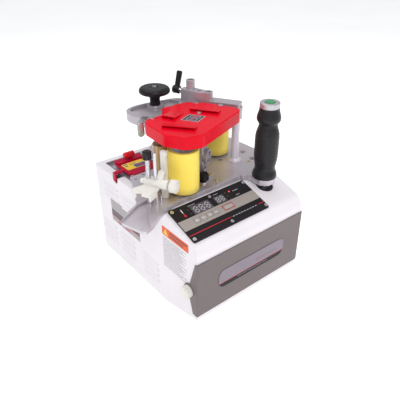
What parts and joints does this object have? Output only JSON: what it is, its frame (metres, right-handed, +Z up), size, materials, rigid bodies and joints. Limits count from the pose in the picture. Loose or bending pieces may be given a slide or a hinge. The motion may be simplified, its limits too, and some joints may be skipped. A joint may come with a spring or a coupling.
{
  "type": "edge banding machine",
  "caption": "Benchtop machine that feeds, glues and presses edging tape onto a curved or straight board edge, with a heated glue box, tape cutter and control panel.",
  "frame": {"origin": "middle of the flat underside that the machine rests on", "axes": "+Z up, +X to the side that the board runs along, -Y to the front with the control panel"},
  "size_m": [0.3215, 0.3032, 0.3382],
  "materials": {
    "housing_paint": "satin",
    "taupe": "satin",
    "cast_alloy": "satin",
    "bright_steel": "satin",
    "chrome": "polished",
    "red_paint": "gloss",
    "black_plastic": "matte",
    "white_plastic": "matte",
    "yellow_rubber": "satin",
    "grip_plastic": "satin",
    "brass": "polished",
    "glue_coated_steel": "worn",
    "panel_film": "satin",
    "display_window": "gloss",
    "lamp": "gloss",
    "key_cap": "matte",
    "green_plastic": "gloss",
    "circuit_board": "matte",
    "bronze": "satin",
    "dark_steel": "matte",
    "red_plastic": "satin"
  },
  "bodies": {
    "frame": {"housing": "housing_paint", "base_plate": "housing_paint", "front_cover": "taupe", "cover_nuts": "bright_steel", "badge_plate": "panel_film", "control_panel": "panel_film", "display_windows": "display_window", "indicator_lamps": "lamp", "panel_screws": "bright_steel", "deck": "cast_alloy", "deck_screws": "bright_steel", "brass_insert": "brass", "support_column": "bright_steel", "handle_grip": "grip_plastic", "handle_core": "chrome", "handle_nut": "chrome", "shaft_bushes": "bronze", "gear_motor": "dark_steel", "guide_rods": "bright_steel", "tape_guide": "white_plastic", "cutter_pillar": "cast_alloy", "cutter_strap": "chrome", "upper_casting": "cast_alloy", "corner_tab": "bright_steel", "top_cover": "red_paint", "pan_screws": "bright_steel", "hand_knob": "black_plastic", "glue_pot": "cast_alloy", "heater_cartridges": "bright_steel", "lid_pin": "bright_steel", "control_board": "circuit_board", "transformer": "dark_steel", "power_inlet": "black_plastic"},
    "feed": {"feed_roller_core": "bright_steel", "feed_roller_tyre": "yellow_rubber", "feed_gear": "bright_steel"},
    "pressure": {"pressure_roller_core": "bright_steel", "pressure_roller_tyre": "yellow_rubber"},
    "glue": {"glue_roller": "glue_coated_steel", "glue_gear": "bright_steel"},
    "motor": {"motor_pinion": "bright_steel"},
    "slider": {"tape_slider": "white_plastic"},
    "spindle": {"height_spindle": "bright_steel", "spindle_knob": "black_plastic"},
    "thumb": {"thumb_screw": "white_plastic"},
    "blade": {"cutter_blade": "bright_steel"},
    "star": {"star_knob": "black_plastic"},
    "lever": {"clamp_lever": "black_plastic", "lever_stud": "chrome"},
    "button": {"start_button": "green_plastic"},
    "key1": {"key_1": "key_cap"},
    "key2": {"key_2": "key_cap"},
    "key3": {"key_3": "key_cap"},
    "key4": {"key_4": "key_cap"},
    "keyf": {"function_key": "key_cap"},
    "lid": {"glue_lid": "red_paint", "lid_knob": "red_plastic"},
    "knob_left": {"cover_knob_left": "white_plastic"},
    "knob_right": {"cover_knob_right": "white_plastic"},
    "rocker": {"main_switch": "black_plastic"}
  },
  "joints": [
    {"name": "feed_spin", "type": "hinge", "parent": "frame", "child": "feed", "pos_m": [-0.0585, -0.0874, 0.2], "axis": [0, 0, 1], "continuous": true},
    {"name": "pressure_spin", "type": "hinge", "parent": "frame", "child": "pressure", "pos_m": [0.0714, -0.0124, 0.2], "axis": [0, 0, 1], "continuous": true},
    {"name": "glue_spin", "type": "hinge", "parent": "frame", "child": "glue", "pos_m": [-0.0775, -0.05449, 0.2], "axis": [0, 0, 1], "continuous": true},
    {"name": "motor_spin", "type": "hinge", "parent": "frame", "child": "motor", "pos_m": [-0.02373, -0.10006, 0.15], "axis": [0, 0, 1], "continuous": true},
    {"name": "spindle_turn", "type": "hinge", "parent": "frame", "child": "spindle", "pos_m": [-0.12192, -0.08475, 0.23], "axis": [0, 0, 1], "range_deg": [-3241, 5401]},
    {"name": "slider_height", "type": "slide", "parent": "frame", "child": "slider", "axis": [0, 0, 1], "range_m": [-0.018, 0.03]},
    {"name": "thumb_turn", "type": "hinge", "parent": "slider", "child": "thumb", "pos_m": [-0.10392, -0.11593, 0.228], "axis": [-0.5, 0.866, 0], "range_deg": [-360, 360]},
    {"name": "blade_slide", "type": "slide", "parent": "frame", "child": "blade", "axis": [-0.5, 0.866, 0], "range_m": [0, 0.006]},
    {"name": "star_turn", "type": "hinge", "parent": "frame", "child": "star", "pos_m": [-0.01732, -0.08672, 0.2], "axis": [0, 0, 1], "range_deg": [-360, 360]},
    {"name": "lever_turn", "type": "hinge", "parent": "frame", "child": "lever", "pos_m": [0.027, 0.042, 0.307], "axis": [-0.3261, 0.9453, 0], "range_deg": [-30, 60]},
    {"name": "button_press", "type": "slide", "parent": "frame", "child": "button", "axis": [0, 0, -1], "range_m": [0, 0.003], "stiffness_N_per_m": 300, "springref_m": -0.002},
    {"name": "key_1_press", "type": "slide", "parent": "frame", "child": "key1", "axis": [0, 0.3078, -0.9514], "range_m": [0, 0.0006], "stiffness_N_per_m": 200, "springref_m": -0.0005},
    {"name": "key_2_press", "type": "slide", "parent": "frame", "child": "key2", "axis": [0, 0.3078, -0.9514], "range_m": [0, 0.0006], "stiffness_N_per_m": 200, "springref_m": -0.0005},
    {"name": "key_3_press", "type": "slide", "parent": "frame", "child": "key3", "axis": [0, 0.3078, -0.9514], "range_m": [0, 0.0006], "stiffness_N_per_m": 200, "springref_m": -0.0005},
    {"name": "key_4_press", "type": "slide", "parent": "frame", "child": "key4", "axis": [0, 0.3078, -0.9514], "range_m": [0, 0.0006], "stiffness_N_per_m": 200, "springref_m": -0.0005},
    {"name": "function_key_press", "type": "slide", "parent": "frame", "child": "keyf", "axis": [0, 0.3078, -0.9514], "range_m": [0, 0.0006], "stiffness_N_per_m": 200, "springref_m": -0.0005},
    {"name": "lid_swing", "type": "hinge", "parent": "frame", "child": "lid", "pos_m": [-0.07, 0.0095, 0.1875], "axis": [1, 0, 0], "range_deg": [0, 90]},
    {"name": "cover_knob_left_turn", "type": "hinge", "parent": "frame", "child": "knob_left", "pos_m": [-0.118, -0.172, 0.072], "axis": [-1, 0, 0], "range_deg": [-360, 360]},
    {"name": "cover_knob_right_turn", "type": "hinge", "parent": "frame", "child": "knob_right", "pos_m": [0.118, -0.172, 0.072], "axis": [1, 0, 0], "range_deg": [-360, 360]},
    {"name": "switch_rock", "type": "hinge", "parent": "frame", "child": "rocker", "pos_m": [0.078, 0.104, 0.05], "axis": [1, 0, 0], "range_deg": [0, 12]}
  ],
  "couplings": [
    {"joint": "glue_spin", "follows": "feed_spin", "ratio": -1.9231},
    {"joint": "motor_spin", "follows": "feed_spin", "ratio": -2.0833},
    {"joint": "spindle_turn", "follows": "slider_height", "rad_per_m": 3141.6}
  ]
}
